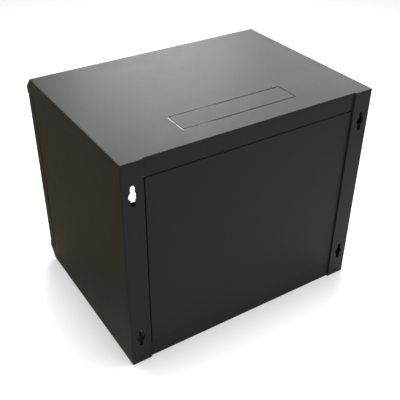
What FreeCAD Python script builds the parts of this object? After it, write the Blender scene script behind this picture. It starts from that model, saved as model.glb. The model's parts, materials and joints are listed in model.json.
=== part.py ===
import FreeCAD, Part
import Sketcher
import math
import os
import re
from FreeCAD import Placement, Rotation, Vector

# Wall mount network cabinet, 9 rack units high, for 19-inch equipment.
# Frame: +Z up, the door faces -Y, the wall side faces +Y. The origin is the middle of the
# underside. Left and right are those of somebody who stands in front of the door: right is +X.

SIZES = {
    # carcass
    "width": (600, "outside width"),
    "height": (500, "outside height"),
    "depth": (456, "from the wall face to the front of the hoods"),
    "sheet": (1.2, "steel sheet of the covers, sides and rear panel"),
    "bend": (1.8, "outside radius of a bend"),
    "seat": (0.3, "gap between pieces that are laid or slid together"),
    "skirt": (40, "height of the skirts of the top and bottom covers"),
    "hood_chamfer": (25, "sloping front of each cover, along Y and along Z"),
    "rear_flange": (39, "height of the covers' rear flanges"),
    "rear_setback": (4, "rear flanges and rear panel behind the column faces"),
    "stop_drop": (9, "door stop flange under the hood"),
    # side panels
    "column": (46.5, "width of the rear columns that lie on the wall"),
    "column_lip": (33, "depth of the lip along each column"),
    "post_return": (2.3, "bend of a column that shows behind a skirt"),
    "frame_flange": (28, "front flange of a side panel"),
    "tongue": (25, "tongue of a side panel behind a skirt"),
    "joggle": (3, "height of the step that leads to a tongue"),
    "keyhole_height": (71, "keyhole centre from the top or the bottom"),
    "keyhole_inset": (23, "keyhole centre from the side"),
    "keyhole_round": (9, "radius of the round middle of a keyhole"),
    "keyhole_slot": (4.75, "half width of the slot of a keyhole"),
    "keyhole_length": (45, "height of a keyhole"),
    # cable entries
    "knockout_length": (275, "cable entry along X, over the slots"),
    "knockout_width": (60, "cable entry along Y, over the slots"),
    "knockout_rear": (55, "cable entry from the wall face"),
    "knockout_slot": (2.2, "width of the slots round the entry"),
    "knockout_tab": (3, "width of a tab that holds the entry's plate"),
    "knockout_tab_place": (78, "front tabs from the middle"),
    # rear panel
    "panel_play": (4.2, "play of the rear panel, above it and beside it"),
    "panel_tongue": (14, "tongue above the rear panel"),
    "panel_lip": (3, "lip below the rear panel"),
    "panel_lap": (12, "lap of tongue and lip on the rear panel"),
    "panel_fold": (12, "depth of the rear panel's folded sides"),
    "panel_bend": (1, "outside radius of those folds"),
    "panel_tongue_width": (492, "width of the tongue and of the lip"),
    # door
    "door_setback": (3, "door behind the front of the hoods"),
    "door_depth": (28.5, "depth of the door"),
    "door_gap": (4, "between the door and the side panels"),
    "door_reveal": (2.5, "above and below the door"),
    "door_inset": (0.5, "door edge inside the side faces"),
    "door_sheet": (1.2, "steel sheet of the door"),
    "door_lip": (26, "lip round the back of the door"),
    "door_rail": (34, "door frame above and below the window"),
    "window_width": (410, "window in the door"),
    "window_corner": (8, "corner radius of the window"),
    "glass": (4, "thickness of the glass"),
    "glass_lap": (12, "glass behind the frame on each side"),
    "glass_tape": (1, "thickness of the tape under the glass"),
    "tape_margin": (2, "tape back from the window's edge"),
    "clamp_sheet": (1.2, "sheet of the glass clamps"),
    "clamp_grip": (7, "clamp flange on the glass"),
    "clamp_foot": (12, "clamp foot on the frame"),
    "clamp_ends": (22, "clamp ends back from the glass corners"),
    "clamp_stud_end": (24, "clamp studs from the clamp's ends"),
    "clamp_stud": (2, "radius of a clamp stud"),
    "clamp_hole": (2.2, "radius of the holes for the clamp studs"),
    "clamp_nut": (3.2, "height of a clamp nut"),
    "clamp_nut_radius": (4, "radius over the corners of a clamp nut"),
    "seal": (3.7, "thickness of the door seal"),
    "seal_width": (6, "width of the door seal"),
    "seal_side": (20, "door seal from the side faces"),
    "seal_top": (3, "door seal from the skirts"),
    # hinges
    "hinge_inset": (10, "hinge axis from the side face"),
    "pin": (4, "radius of the hinge pins"),
    "running": (0.06, "radial clearance of a pin or plug in its hole"),
    "ear_reach": (18, "ears of a hinge bracket from its back"),
    "ear_width": (20, "width of a hinge bracket"),
    "bracket_sheet": (1.5, "sheet of the hinge and depth brackets"),
    "ear_drop": (10, "first ear of a hinge bracket from the door's end"),
    "ear_spacing": (40, "between the two ears of a hinge bracket"),
    "pin_reach": (12.5, "upper hinge pin above the door"),
    "pin_foot": (22, "lower hinge pin into the door"),
    "pin_head": (3, "head of the lower hinge pin"),
    "pin_head_radius": (7, "radius of that head"),
    "lever_drop": (14, "release lever below the lower ear"),
    "lever_bend": (8, "bend of the release lever"),
    "lever_reach": (30, "release lever from the hinge axis"),
    "collar": (3, "height of the spring collar"),
    "collar_radius": (6.4, "radius of the spring collar"),
    "spring_wire": (0.6, "radius of the spring wire"),
    "spring_radius": (5.3, "coil radius of the spring"),
    "spring_turns": (6, "turns of the spring"),
    "washer": (2.2, "thickness of the hinge washer"),
    "washer_radius": (8, "radius of the hinge washer"),
    # lock
    "lock_side": (50, "lock axis from the side face"),
    "lock_bezel": (2.5, "bezel in front of the door"),
    "lock_bezel_radius": (12, "radius of the bezel"),
    "lock_barrel": (9, "radius of the lock barrel"),
    "lock_plug": (6, "bore of the lock barrel"),
    "lock_back": (1.5, "barrel end in front of the cam"),
    "keyway_length": (7, "height of the keyway"),
    "keyway_width": (1.4, "width of the keyway"),
    "keyway_depth": (8, "depth of the keyway"),
    "cam": (2.5, "thickness of the cam"),
    "cam_behind": (0.7, "cam behind the side panel's front flange"),
    "cam_length": (34, "between the cam's end centres"),
    "cam_width": (14, "width of the cam"),
    "cam_neck": (4, "radius of the plug's end in the cam"),
    "cam_screw": (2, "radius of the cam's screw"),
    "cam_screw_head": (6, "radius of that screw's head"),
    "cam_screw_head_height": (3, "height of that screw's head"),
    "cam_screw_length": (8, "length of that screw in the plug"),
    "lock_nut": (4, "thickness of the lock's nut"),
    "lock_nut_radius": (14, "radius over the corners of the lock's nut"),
    "lock_nut_play": (0.4, "bore of the lock's nut over the corners, around the barrel"),
    # rack rails
    "rail_sheet": (2, "sheet of the rack rails"),
    "rail_clear": (450.8, "clear width between the rails"),
    "rail_flange": (33, "front flange of a rail"),
    "rail_leg": (30, "leg of a rail"),
    "rail_recess": (25, "rails behind the side panels' front flanges"),
    "rail_ends": (14, "rail ends from the top and the bottom"),
    "rack_unit": (44.45, "height of a rack unit"),
    "rack_units": (9, "number of rack units"),
    "rack_hole": (9.5, "side of a square hole"),
    "rack_hole_spacing": (465.1, "between the hole rows of the two rails"),
    "rack_hole_step": (15.875, "from one hole to the next in a unit"),
    "rail_travel": (120, "how far the rails can be set back"),
    "rail_bolt_set": (18, "rail bolts behind the rail's front"),
    # depth brackets
    "bracket_height": (30, "height of a depth bracket"),
    "bracket_edge": (12, "depth bracket from the top or the bottom"),
    "bracket_wall": (2, "depth bracket from the side panel's tongue"),
    "bracket_slot": (3.5, "half width of a bracket's slots"),
    "bracket_slot_pitch": (142, "from slot to slot"),
    # fasteners, M6
    "bolt": (3, "radius of bolts and studs"),
    "bolt_hole": (3.3, "radius of their holes"),
    "bolt_head": (5.5, "radius of a bolt head"),
    "bolt_head_height": (3.3, "height of a bolt head"),
    "nut_radius": (5.77, "radius over the corners of a nut"),
    "nut": (5, "height of a nut"),
    "nut_bore": (3.05, "radius of a nut's bore"),
    "stud_end": (2, "stud beyond its nut"),
    "bracket_stud_side": (7.5, "bracket studs from the open side of their bracket"),
    "cover_stud_end": (60, "cover studs from the front flange and from the wall face"),
    "earth_side": (15, "earth stud from the depth bracket beside it"),
    "earth_rear": (50, "earth stud from the wall face"),
    "earth_disc": (8, "radius of the earth stud's foot"),
}

# Places that many pieces share, worked out from the sizes.
SIDE = "(width / 2)"
REAR = "(depth / 2)"
FRONT = "(-depth / 2)"
DOOR_FRONT = "(-depth / 2 + door_setback)"
DOOR_BACK = "(-depth / 2 + door_setback + door_depth)"
DOOR_BOTTOM = "(skirt + door_reveal)"
DOOR_TOP = "(height - skirt - door_reveal)"
DOOR_SIDE = "(width / 2 - door_inset)"
FRAME_FRONT = "(-depth / 2 + door_setback + door_depth + door_gap)"
FRAME_BACK = "(-depth / 2 + door_setback + door_depth + door_gap + sheet)"
COLUMN_EDGE = "(width / 2 - column)"
PANEL_FACE = "(depth / 2 - rear_setback)"
PANEL_BACK = "(depth / 2 - rear_setback - sheet)"
PANEL_TOP = "(height - rear_flange - panel_play)"
PANEL_BOTTOM = "(rear_flange + seat)"
TONGUE_FACE = "(width / 2 - sheet - seat)"
TONGUE_BACK = "(width / 2 - 2 * sheet - seat)"
HINGE_X = "(-width / 2 + hinge_inset)"
HINGE_Y = "(-depth / 2 + door_setback + door_depth / 2)"
LOCK_X = "(width / 2 - lock_side)"
GLASS_FRONT = "(-depth / 2 + door_setback + door_sheet + glass_tape)"
GLASS_BACK = "(-depth / 2 + door_setback + door_sheet + glass_tape + glass)"
GLASS_SIDE = "(window_width / 2 + glass_lap)"
GLASS_BOTTOM = "(skirt + door_reveal + door_rail - glass_lap)"
RAIL_FRONT = "(-depth / 2 + door_setback + door_depth + door_gap + rail_recess)"
RAIL_OUTER = "(rail_clear / 2 + rail_flange)"
RAIL_BOLT_Y = "(-depth / 2 + door_setback + door_depth + door_gap + rail_recess + rail_bolt_set)"
BRACKET_WEB = "(rail_clear / 2 + rail_flange + seat)"
BRACKET_WEB_BACK = "(rail_clear / 2 + rail_flange + seat + bracket_sheet)"
BRACKET_SIDE = "(width / 2 - 2 * sheet - seat - bracket_wall)"
BRACKET_MIDDLE = "(bracket_edge + bracket_height / 2)"
COVER_STUD_RUNS = (f"({FRAME_BACK} + cover_stud_end)", f"({REAR} - cover_stud_end)")
BRACKET_STUD_X = "(width / 2 - 2 * sheet - seat - bracket_wall - bracket_stud_side)"
CAM_FRONT = "(-depth / 2 + door_setback + door_depth + door_gap + sheet + cam_behind)"

# Small round fasteners and their holes have this many sides, the spring this many steps a turn.
FASTENER_SIDES = 12
SPRING_STEPS = 12
# Planes that are nearer to each other than this, in mm, are the same plane.
NEAR = 1e-4
SIDES = {"left": -1, "right": 1}
ENDS = {"upper": True, "lower": False}

doc = FreeCAD.newDocument("network_cabinet")
table = doc.addObject("Spreadsheet::Sheet", "Sizes")
for row, (alias, (value, meaning)) in enumerate(SIZES.items(), start=1):
    table.set(f"A{row}", alias)
    table.set(f"B{row}", str(value))
    table.set(f"C{row}", meaning)
    table.setAlias(f"B{row}", alias)
doc.recompute()


# ---------------------------------------------------------------- expressions

def bound(text):
    """An expression on the sheet's aliases, as the features of the document read it."""
    return re.sub(r"[a-z_]\w*", lambda m: "Sizes." + m.group() if m.group() in SIZES else m.group(), text)


def number(text):
    """The present value of such an expression."""
    return float(table.evalExpression(bound(text)))


def flipped(text):
    """The same height, counted from the top instead of the bottom."""
    return f"(height - {text})"


def sided(sign, text):
    """The same distance from the middle, on the left for -1 and on the right for 1."""
    return f"({sign} * {text})"


def offset(text, by):
    return f"({text} + {by})"


# ---------------------------------------------------------------- bodies, sketches, features

def new_body(label):
    body = doc.addObject("PartDesign::Body", label)
    body.Label = label
    return body


def plane_of(body, role):
    return next(item for item in body.Origin.OriginFeatures if item.Role == role)


PLANES = {"X": "YZ_Plane", "Y": "XZ_Plane", "Z": "XY_Plane"}


def new_sketch(body, axis, place, name):
    """A sketch across axis at place: (Y, Z) for X, (X, Z) for Y and (X, Y) for Z."""
    sketch = body.newObject("Sketcher::SketchObject", name)
    sketch.AttachmentSupport = [(plane_of(body, PLANES[axis]), "")]
    sketch.MapMode = "FlatFace"
    away = f"-{place}" if axis == "Y" else place
    sketch.setExpression("AttachmentOffset.Base.z", bound(away))
    return sketch


def pin_point(sketch, geometry, end, u, v):
    """Holds a point of the sketch at (u, v) from the origin, both bound to the sheet."""
    for kind, text in (("DistanceX", u), ("DistanceY", v)):
        index = sketch.addConstraint(Sketcher.Constraint(kind, -1, 1, geometry, end, number(text)))
        sketch.setExpression(f"Constraints[{index}]", bound(text))


def draw_polygon(sketch, corners):
    points = [Vector(number(u), number(v), 0) for u, v in corners]
    first = sketch.GeometryCount
    for start, stop in zip(points, points[1:] + points[:1]):
        sketch.addGeometry(Part.LineSegment(start, stop))
    for index in range(len(points)):
        following = first + (index + 1) % len(points)
        sketch.addConstraint(Sketcher.Constraint("Coincident", first + index, 2, following, 1))
    for index, (u, v) in enumerate(corners):
        pin_point(sketch, first + index, 1, u, v)


def draw_rectangle(sketch, u_low, v_low, u_high, v_high):
    draw_polygon(sketch, [(u_low, v_low), (u_high, v_low), (u_high, v_high), (u_low, v_high)])


def draw_circle(sketch, u, v, radius):
    centre = Vector(number(u), number(v), 0)
    circle = sketch.addGeometry(Part.Circle(centre, Vector(0, 0, 1), number(radius)))
    pin_point(sketch, circle, 3, u, v)
    index = sketch.addConstraint(Sketcher.Constraint("Radius", circle, number(radius)))
    sketch.setExpression(f"Constraints[{index}]", bound(radius))


def draw_small_hole(sketch, u, v, radius):
    """A hole for a small fastener, with FASTENER_SIDES sides in place of a circle."""
    turns = [f"{360 / FASTENER_SIDES * side} deg" for side in range(FASTENER_SIDES)]
    draw_polygon(sketch, [(f"({u} + {radius} * cos({turn}))", f"({v} + {radius} * sin({turn}))")
                          for turn in turns])


def draw_slot(sketch, first_end, second_end, radius):
    """A slot between two end centres, of which the second lies further along u or v."""
    ends = [Vector(number(u), number(v), 0) for u, v in (first_end, second_end)]
    size = number(radius)
    along = (ends[1] - ends[0]).normalize()
    across = Vector(-along.y, along.x, 0) * size
    normal = Vector(0, 0, 1)
    heading = Vector(1, 0, 0).getAngle(along) * (1 if along.y >= 0 else -1)
    quarter = math.pi / 2
    arcs = [
        sketch.addGeometry(Part.ArcOfCircle(Part.Circle(ends[0], normal, size),
                                            heading + quarter, heading + 3 * quarter)),
        sketch.addGeometry(Part.ArcOfCircle(Part.Circle(ends[1], normal, size),
                                            heading - quarter, heading + quarter)),
    ]
    low = sketch.addGeometry(Part.LineSegment(ends[0] - across, ends[1] - across))
    high = sketch.addGeometry(Part.LineSegment(ends[1] + across, ends[0] + across))
    for arc, end, line, start in ((arcs[0], 2, low, 1), (arcs[1], 1, low, 2),
                                  (arcs[1], 2, high, 1), (arcs[0], 1, high, 2)):
        sketch.addConstraint(Sketcher.Constraint("Tangent", arc, end, line, start))
    sketch.addConstraint(Sketcher.Constraint("Equal", arcs[0], arcs[1]))
    for arc, (u, v) in zip(arcs, (first_end, second_end)):
        pin_point(sketch, arc, 3, u, v)
    index = sketch.addConstraint(Sketcher.Constraint("Radius", arcs[0], size))
    sketch.setExpression(f"Constraints[{index}]", bound(radius))


def add_slab(body, axis, low, high, draw, name):
    """Pads what draw puts in a sketch across axis, from low to high."""
    sketch = new_sketch(body, axis, high if axis == "Y" else low, name + "_outline")
    draw(sketch)
    pad = body.newObject("PartDesign::Pad", name)
    pad.Profile = sketch
    pad.setExpression("Length", bound(f"{high} - {low}"))
    doc.recompute()
    return pad


def cut_slab(body, axis, low, high, draw, name):
    """Pockets what draw puts in a sketch across axis, from low to high."""
    sketch = new_sketch(body, axis, low if axis == "Y" else high, name + "_outline")
    draw(sketch)
    pocket = body.newObject("PartDesign::Pocket", name)
    pocket.Profile = sketch
    pocket.setExpression("Length", bound(f"{high} - {low}"))
    doc.recompute()
    return pocket


def edges_where(shape, test):
    return [f"Edge{index}" for index, edge in enumerate(shape.Edges, start=1) if test(edge)]


def faces_where(shape, test):
    return [f"Face{index}" for index, face in enumerate(shape.Faces, start=1) if test(face)]


def round_edges(body, base, names, radius, name):
    fillet = body.newObject("PartDesign::Fillet", name)
    fillet.Base = (base, names)
    fillet.setExpression("Radius", bound(radius))
    doc.recompute()
    return fillet


def hollow_out(body, base, names, wall, name):
    """Leaves walls of one thickness inside the faces that aren't named."""
    shell = body.newObject("PartDesign::Thickness", name)
    shell.Base = (base, names)
    shell.setExpression("Value", bound(wall))
    shell.Reversed = True
    shell.Join = 1
    doc.recompute()
    return shell


def lies_in(item, **planes):
    """Whether an edge or face lies whole in each named plane, such as z=0."""
    box = item.BoundBox
    low = {"x": box.XMin, "y": box.YMin, "z": box.ZMin}
    high = {"x": box.XMax, "y": box.YMax, "z": box.ZMax}
    return all(abs(low[key] - value) < NEAR and abs(high[key] - value) < NEAR
               for key, value in planes.items())


def place(item, x, y, z, rotation=Rotation()):
    """Sets the Placement, with its base bound to the sheet."""
    item.Placement = Placement(Vector(number(x), number(y), number(z)), rotation)
    for key, text in (("x", x), ("y", y), ("z", z)):
        item.setExpression(f"Placement.Base.{key}", bound(text))


# ---------------------------------------------------------------- covers

def on_hood_outside(edge, side, front, top):
    """Whether two outside faces of the cover meet at an edge, which is no cut edge of its skirts."""
    chamfer = number("hood_chamfer")

    def outside(point):
        sloping = abs((top - point.z) + (point.y - front) - chamfer) < NEAR
        return sum((abs(abs(point.x) - side) < NEAR, abs(point.z - top) < NEAR,
                    abs(point.y - front) < NEAR, sloping))
    box = edge.BoundBox
    cut = lies_in(edge, z=number("(height - skirt)")) or lies_in(edge, y=number(REAR))
    middle = edge.valueAt((edge.FirstParameter + edge.LastParameter) / 2)
    return not cut and box.DiagonalLength > 0 and outside(middle) >= 2


def make_cover(label, on_top):
    """A cover pan: skirts all round, a sloping hood in front and a knock-out cable entry.

    The bottom cover is the same pressing, turned over about Y."""
    body = new_body(label)
    under = "(height - skirt)"

    def hood_profile(sketch):
        draw_polygon(sketch, [
            (REAR, "height"), (REAR, under), (FRONT, under),
            (FRONT, "(height - hood_chamfer)"), (offset(FRONT, "hood_chamfer"), "height")])
    block = add_slab(body, "X", f"-{SIDE}", SIDE, hood_profile, label + "_block")

    open_faces = faces_where(block.Shape, lambda face: lies_in(face, z=number(under))
                             or lies_in(face, y=number(REAR)))
    pan = hollow_out(body, block, open_faces, "sheet", label + "_pan")
    outside = number(SIDE), number(FRONT), number("height")
    bends = edges_where(pan.Shape, lambda edge: on_hood_outside(edge, *outside))
    round_edges(body, pan, bends, "bend", label + "_bends")

    cut_slab(body, "Z", under, "height", lambda sketch: draw_rectangle(
        sketch, f"-{COLUMN_EDGE}", PANEL_FACE, COLUMN_EDGE, offset(REAR, "sheet")), label + "_rear_notch")
    cut_slab(body, "X", f"-{SIDE}", SIDE, lambda sketch: draw_rectangle(
        sketch, f"({REAR} - post_return - seat)", under, offset(REAR, "sheet"), "(height - sheet)"),
        label + "_post_notches")
    add_slab(body, "Y", PANEL_BACK, PANEL_FACE, lambda sketch: draw_rectangle(
        sketch, f"(-{COLUMN_EDGE} + seat)", "(height - rear_flange)", f"({COLUMN_EDGE} - seat)",
        "height"), label + "_rear_flange")

    inner_edge = "(width / 2 - frame_flange - seat)"
    front_strip = f"({FRAME_FRONT} - seat)"
    add_slab(body, "Z", under, f"({under} + sheet)", lambda sketch: draw_polygon(sketch, [
        (f"(-{SIDE} + sheet / 2)", f"({FRONT} + sheet / 2)"),
        (f"({SIDE} - sheet / 2)", f"({FRONT} + sheet / 2)"),
        (f"({SIDE} - sheet / 2)", front_strip), (inner_edge, front_strip),
        (inner_edge, FRAME_BACK), (f"-{inner_edge}", FRAME_BACK),
        (f"-{inner_edge}", front_strip), (f"(-{SIDE} + sheet / 2)", front_strip)]),
        label + "_hood_floor")
    add_slab(body, "Y", FRAME_FRONT, FRAME_BACK, lambda sketch: draw_rectangle(
        sketch, f"-{inner_edge}", f"({under} - stop_drop)", inner_edge, f"({under} + sheet)"),
        label + "_door_stop")

    def pin_holes(sketch):
        for sign in SIDES.values():
            draw_circle(sketch, sided(sign, HINGE_X), HINGE_Y, "(pin + running)")
    cut_slab(body, "Z", under, f"({under} + sheet)", pin_holes, label + "_pin_holes")
    cut_slab(body, "Z", "(height - sheet)", "height", draw_knockout, label + "_knockout")

    if not on_top:
        place(body, "0", "0", "height", Rotation(Vector(0, 1, 0), 180))
    return body


def draw_knockout(sketch):
    """Four slots round the cable entry's plate, with tabs left between their ends."""
    out_x = "(knockout_length / 2)"
    in_x = "(knockout_length / 2 - knockout_slot)"
    rear = f"({REAR} - knockout_rear)"
    rear_in = f"({REAR} - knockout_rear - knockout_slot)"
    front = f"({REAR} - knockout_rear - knockout_width)"
    front_in = f"({REAR} - knockout_rear - knockout_width + knockout_slot)"
    middle = f"({REAR} - knockout_rear - knockout_width / 2)"
    tab_rear = offset(middle, "knockout_tab / 2")
    tab_front = offset(middle, "-knockout_tab / 2")
    tab_near = "(knockout_tab_place - knockout_tab / 2)"
    tab_far = "(knockout_tab_place + knockout_tab / 2)"
    draw_polygon(sketch, [
        (f"-{out_x}", tab_rear), (f"-{in_x}", tab_rear), (f"-{in_x}", rear_in), (in_x, rear_in),
        (in_x, tab_rear), (out_x, tab_rear), (out_x, rear), (f"-{out_x}", rear)])
    draw_rectangle(sketch, f"-{tab_near}", front, tab_near, front_in)
    for sign in SIDES.values():
        draw_polygon(sketch, [
            (sided(sign, out_x), tab_front), (sided(sign, in_x), tab_front),
            (sided(sign, in_x), front_in), (sided(sign, tab_far), front_in),
            (sided(sign, tab_far), front), (sided(sign, out_x), front)])


# ---------------------------------------------------------------- side panels

def make_side_panel(label, sign):
    """A side sheet with its wall column, its front flange and tongues behind the skirts."""
    body = new_body(label)
    low = "(skirt + seat)"
    high = "(height - skirt - seat)"
    tongue_low = "(skirt - tongue)"
    tongue_high = "(height - skirt + tongue)"
    column_low = "(sheet + seat)"
    column_high = "(height - sheet - seat)"

    def side_profile(sketch):
        half = [(SIDE, high), (TONGUE_FACE, high), (TONGUE_FACE, tongue_high),
                (TONGUE_BACK, tongue_high), (TONGUE_BACK, f"({high} - joggle)"),
                (f"({SIDE} - sheet)", f"({high} - 2 * joggle)")]
        rest = [(f"({SIDE} - sheet)", f"({low} + 2 * joggle)"), (TONGUE_BACK, f"({low} + joggle)"),
                (TONGUE_BACK, tongue_low), (TONGUE_FACE, tongue_low), (TONGUE_FACE, low),
                (SIDE, low)]
        draw_polygon(sketch, [(sided(sign, x), z) for x, z in half + rest])
    add_slab(body, "Y", FRAME_FRONT, REAR, side_profile, label + "_sheet")

    def column_profile(sketch):
        inner = f"({COLUMN_EDGE} + sheet)"
        lip_end = f"({REAR} - column_lip)"
        draw_polygon(sketch, [(sided(sign, x), y) for x, y in [
            (COLUMN_EDGE, REAR), (SIDE, REAR), (SIDE, f"({REAR} - post_return)"),
            (f"({SIDE} - sheet)", f"({REAR} - post_return)"), (f"({SIDE} - sheet)", f"({REAR} - sheet)"),
            (inner, f"({REAR} - sheet)"), (inner, lip_end), (COLUMN_EDGE, lip_end)]])
    add_slab(body, "Z", column_low, column_high, column_profile, label + "_column")

    flange_edge = "(width / 2 - frame_flange)"
    flange = add_slab(body, "Y", FRAME_FRONT, FRAME_BACK, lambda sketch: draw_polygon(
        sketch, [(sided(sign, x), z) for x, z in [
            (flange_edge, column_low), (TONGUE_FACE, column_low), (TONGUE_FACE, low), (SIDE, low),
            (SIDE, high), (TONGUE_FACE, high), (TONGUE_FACE, column_high),
            (flange_edge, column_high)]]), label + "_flange")

    corner = edges_where(flange.Shape, lambda edge: lies_in(
        edge, x=sign * number(SIDE), y=number(REAR)) or lies_in(
        edge, x=sign * number(SIDE), y=number(FRAME_FRONT)))
    round_edges(body, flange, corner, "bend", label + "_bends")

    keyhole_x = sided(sign, f"({SIDE} - keyhole_inset)")
    heights = ["keyhole_height", flipped("keyhole_height")]

    def round_middles(sketch):
        for centre in heights:
            draw_circle(sketch, keyhole_x, centre, "keyhole_round")

    def slots(sketch):
        reach = "(keyhole_length / 2 - keyhole_slot)"
        for centre in heights:
            draw_slot(sketch, (keyhole_x, f"({centre} - {reach})"),
                      (keyhole_x, f"({centre} + {reach})"), "keyhole_slot")
    back = f"({REAR} - sheet)"
    cut_slab(body, "Y", back, REAR, round_middles, label + "_keyholes")
    cut_slab(body, "Y", back, REAR, slots, label + "_keyhole_slots")

    def tongue_holes(sketch):
        for run in COVER_STUD_RUNS:
            for height in (BRACKET_MIDDLE, flipped(BRACKET_MIDDLE)):
                draw_small_hole(sketch, run, height, "bolt_hole")
    faces = sorted((sided(sign, TONGUE_BACK), sided(sign, TONGUE_FACE)), key=number)
    cut_slab(body, "X", faces[0], faces[1], tongue_holes, label + "_tongue_holes")
    return body


# ---------------------------------------------------------------- rear panel

def make_rear_panel(label):
    """The loose panel between the columns: lift it off its lip, swing it out and drop it."""
    body = new_body(label)
    left = f"(-{COLUMN_EDGE} + seat)"
    right = f"({COLUMN_EDGE} - panel_play)"
    fold_end = f"({PANEL_BACK} - panel_fold)"
    plate = add_slab(body, "Z", PANEL_BOTTOM, PANEL_TOP, lambda sketch: draw_polygon(sketch, [
        (left, PANEL_FACE), (right, PANEL_FACE), (right, fold_end), (f"({right} - sheet)", fold_end),
        (f"({right} - sheet)", PANEL_BACK), (f"({left} + sheet)", PANEL_BACK),
        (f"({left} + sheet)", fold_end), (left, fold_end)]), label + "_plate")
    bends = edges_where(plate.Shape, lambda edge: lies_in(edge, x=number(left), y=number(PANEL_FACE))
                        or lies_in(edge, x=number(right), y=number(PANEL_FACE)))
    round_edges(body, plate, bends, "panel_bend", label + "_bends")
    face = f"({PANEL_BACK} - seat)"
    back = f"({PANEL_BACK} - seat - sheet)"

    def tongue_profile(sketch):
        top = f"({PANEL_TOP} + panel_tongue)"
        lap = f"({PANEL_TOP} - panel_lap)"
        draw_polygon(sketch, [(PANEL_BACK, lap), (PANEL_BACK, PANEL_TOP), (face, PANEL_TOP),
                              (face, top), (back, top), (back, lap)])

    def lip_profile(sketch):
        end = f"({PANEL_BOTTOM} - panel_lip)"
        lap = f"({PANEL_BOTTOM} + panel_lap)"
        draw_polygon(sketch, [(PANEL_BACK, lap), (PANEL_BACK, PANEL_BOTTOM), (face, PANEL_BOTTOM),
                              (face, end), (back, end), (back, lap)])
    half = "(panel_tongue_width / 2)"
    add_slab(body, "X", f"-{half}", half, tongue_profile, label + "_tongue")
    add_slab(body, "X", f"-{half}", half, lip_profile, label + "_lip")
    return body


# ---------------------------------------------------------------- door

def make_door_frame(label):
    """A pressed pan with a window, a lip round its back, and holes for lock and hinge pins."""
    body = new_body(label)
    block = add_slab(body, "Y", DOOR_FRONT, DOOR_BACK, lambda sketch: draw_rectangle(
        sketch, f"-{DOOR_SIDE}", DOOR_BOTTOM, DOOR_SIDE, DOOR_TOP), label + "_block")
    back = faces_where(block.Shape, lambda face: lies_in(face, y=number(DOOR_BACK)))
    pan = hollow_out(body, block, back, "door_sheet", label + "_pan")
    rim = edges_where(pan.Shape, lambda edge: lies_in(edge, y=number(DOOR_FRONT)))
    round_edges(body, pan, rim, "bend", label + "_bends")

    def lip_ring(sketch):
        draw_rectangle(sketch, f"-{DOOR_SIDE}", DOOR_BOTTOM, DOOR_SIDE, DOOR_TOP)
        draw_rectangle(sketch, f"(-{DOOR_SIDE} + door_lip)", offset(DOOR_BOTTOM, "door_lip"),
                       f"({DOOR_SIDE} - door_lip)", offset(DOOR_TOP, "-door_lip"))
    add_slab(body, "Y", f"({DOOR_BACK} - door_sheet)", DOOR_BACK, lip_ring, label + "_lip")

    inside = f"({DOOR_FRONT} + door_sheet)"
    window = cut_slab(body, "Y", DOOR_FRONT, inside, lambda sketch: draw_rectangle(
        sketch, "-window_width / 2", offset(DOOR_BOTTOM, "door_rail"), "window_width / 2",
        offset(DOOR_TOP, "-door_rail")), label + "_window")
    corners = edges_where(window.Shape, lambda edge: edge.BoundBox.XLength < NEAR
                          and edge.BoundBox.ZLength < NEAR
                          and abs(edge.BoundBox.YLength - number("door_sheet")) < NEAR
                          and abs(abs(edge.BoundBox.Center.x) - number("window_width / 2")) < NEAR)
    round_edges(body, window, corners, "window_corner", label + "_window_corners")
    cut_slab(body, "Y", DOOR_FRONT, inside, lambda sketch: draw_circle(
        sketch, LOCK_X, "height / 2", "lock_barrel + running"), label + "_lock_hole")
    cut_slab(body, "Z", DOOR_BOTTOM, DOOR_TOP, lambda sketch: draw_circle(
        sketch, HINGE_X, HINGE_Y, "pin + running"), label + "_pin_holes")
    return body


def make_ring(label, front, back, outer, inner):
    """A flat ring across Y between two rectangles, each (half width, bottom, top)."""
    body = new_body(label)

    def outline(sketch):
        for half, bottom, top in (outer, inner):
            draw_rectangle(sketch, f"-{half}", bottom, half, top)
    add_slab(body, "Y", front, back, outline, label + "_ring")
    return body


def make_glass(label):
    body = new_body(label)
    pane = add_slab(body, "Y", GLASS_FRONT, GLASS_BACK, lambda sketch: draw_rectangle(
        sketch, f"-{GLASS_SIDE}", GLASS_BOTTOM, GLASS_SIDE, flipped(GLASS_BOTTOM)), label + "_pane")
    arris = body.newObject("PartDesign::Chamfer", label + "_arris")
    arris.Base = (pane, edges_where(pane.Shape, lambda edge: edge.BoundBox.YLength < NEAR))
    arris.setExpression("Size", bound("glass / 10"))
    doc.recompute()
    return body


def clamp_profile(edge, foot_end):
    """(outward, Y) corners of a clamp that lies over the glass edge and stands on the frame."""
    frame = f"({DOOR_FRONT} + door_sheet)"
    frame_top = f"({DOOR_FRONT} + door_sheet + clamp_sheet)"
    web = f"({edge} + seat)"
    web_out = f"({edge} + seat + clamp_sheet)"
    over = f"({GLASS_BACK} + clamp_sheet)"
    return [(f"({edge} - clamp_grip)", GLASS_BACK), (f"({edge} - clamp_grip)", over), (web_out, over),
            (web_out, frame_top), (foot_end, frame_top), (foot_end, frame), (web, frame),
            (web, GLASS_BACK)]


def clamp_half(along):
    """Half the length of the clamps that run along Z or X."""
    return f"(height / 2 - {GLASS_BOTTOM} - clamp_ends)" if along == "Z" else f"({GLASS_SIDE} - clamp_ends)"


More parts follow.
